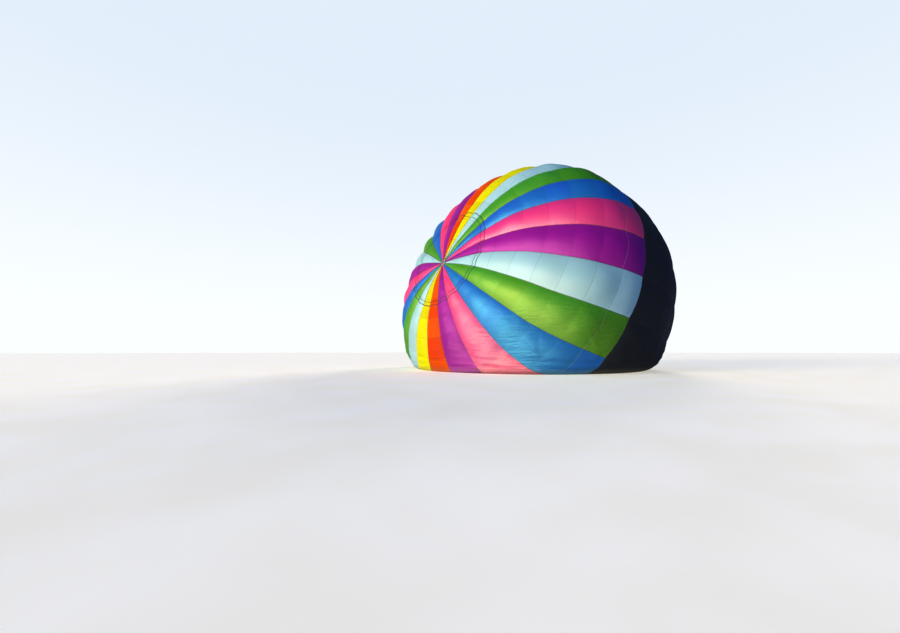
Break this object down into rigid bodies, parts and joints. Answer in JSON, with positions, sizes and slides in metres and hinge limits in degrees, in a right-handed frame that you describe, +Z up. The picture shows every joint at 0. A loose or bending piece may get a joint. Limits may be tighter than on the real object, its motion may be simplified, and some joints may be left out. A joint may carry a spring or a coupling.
{
  "type": "hot air balloon on its side, inflating",
  "caption": "Striped hot air balloon lying on its side as it fills with air: gored fabric envelope, crown valve, flying wires, burner frame and wicker basket.",
  "frame": {"origin": "on the ground under the middle of the whole balloon's box", "axes": "+X from the crown towards the mouth and the basket, +Z up"},
  "size_m": [24.1942, 18.8782, 14.2922],
  "materials": {
    "cloth_yellow": "thin coated woven nylon",
    "cloth_white": "thin coated woven nylon",
    "cloth_green": "thin coated woven nylon",
    "cloth_blue": "thin coated woven nylon",
    "cloth_pink": "thin coated woven nylon",
    "cloth_purple": "thin coated woven nylon",
    "cloth_red": "thin coated woven nylon",
    "cloth_dark": "thin coated woven nylon",
    "webbing": "woven polyester tape",
    "wire": "stranded stainless wire",
    "steel": "brushed stainless",
    "tank": "satin",
    "wicker": "varnished cane",
    "plywood": "varnished plywood",
    "leather": "stitched hide"
  },
  "bodies": {
    "balloon": {"gore_01_yellow": "cloth_yellow", "gore_02_white": "cloth_white", "gore_03_green": "cloth_green", "gore_04_blue": "cloth_blue", "gore_05_pink": "cloth_pink", "gore_06_purple": "cloth_purple", "gore_07_white": "cloth_white", "gore_08_green": "cloth_green", "gore_09_blue": "cloth_blue", "gore_10_pink": "cloth_pink", "gore_11_purple": "cloth_purple", "gore_12_red": "cloth_red", "gore_13_yellow": "cloth_yellow", "gore_14_white": "cloth_white", "gore_15_green": "cloth_green", "gore_16_blue": "cloth_blue", "gore_17_pink": "cloth_pink", "gore_18_purple": "cloth_purple", "gore_19_white": "cloth_white", "gore_20_green": "cloth_green", "gore_21_blue": "cloth_blue", "gore_22_pink": "cloth_pink", "gore_23_purple": "cloth_purple", "gore_24_red": "cloth_red", "dark_panel_1": "cloth_dark", "dark_panel_2": "cloth_dark", "dark_panel_3": "cloth_dark", "dark_panel_4": "cloth_dark", "dark_panel_5": "cloth_dark", "dark_panel_6": "cloth_dark", "crown_ring_and_tapes": "webbing", "mouth_ring": "webbing", "flying_wires_upper_near": "wire", "flying_wires_lower_near": "wire", "flying_wires_lower_far": "wire", "flying_wires_upper_far": "wire", "wicker_wall_upper": "wicker", "wicker_wall_lower": "wicker", "wicker_wall_near": "wicker", "wicker_wall_far": "wicker", "basket_floor": "plywood", "runner_lower": "plywood", "runner_upper": "plywood", "base_edge": "leather", "padded_rim": "leather", "upright_upper_near": "leather", "upright_lower_near": "leather", "upright_lower_far": "leather", "upright_upper_far": "leather", "load_frame": "steel", "fuel_tank_lower_near": "tank", "fuel_tank_lower_far": "tank", "fuel_tank_upper_far": "tank"},
    "valve": {"parachute_valve": "cloth_white"},
    "gimbal": {"gimbal_ring": "steel"},
    "burner": {"burner_block": "steel", "burner_can_near": "steel", "burner_can_far": "steel"}
  },
  "joints": [
    {"name": "valve_slide", "type": "slide", "parent": "balloon", "child": "valve", "axis": [0.9336, 0, -0.3584], "range_m": [0, 1.2]},
    {"name": "gimbal_swing", "type": "hinge", "parent": "balloon", "child": "gimbal", "pos_m": [10.04706, -0.00856, 0.6], "axis": [0, 1, 0], "range_deg": [-20, 20]},
    {"name": "burner_swing", "type": "hinge", "parent": "gimbal", "child": "burner", "pos_m": [10.04706, -0.00856, 0.6], "axis": [0, 0, 1], "range_deg": [-20, 20]}
  ]
}
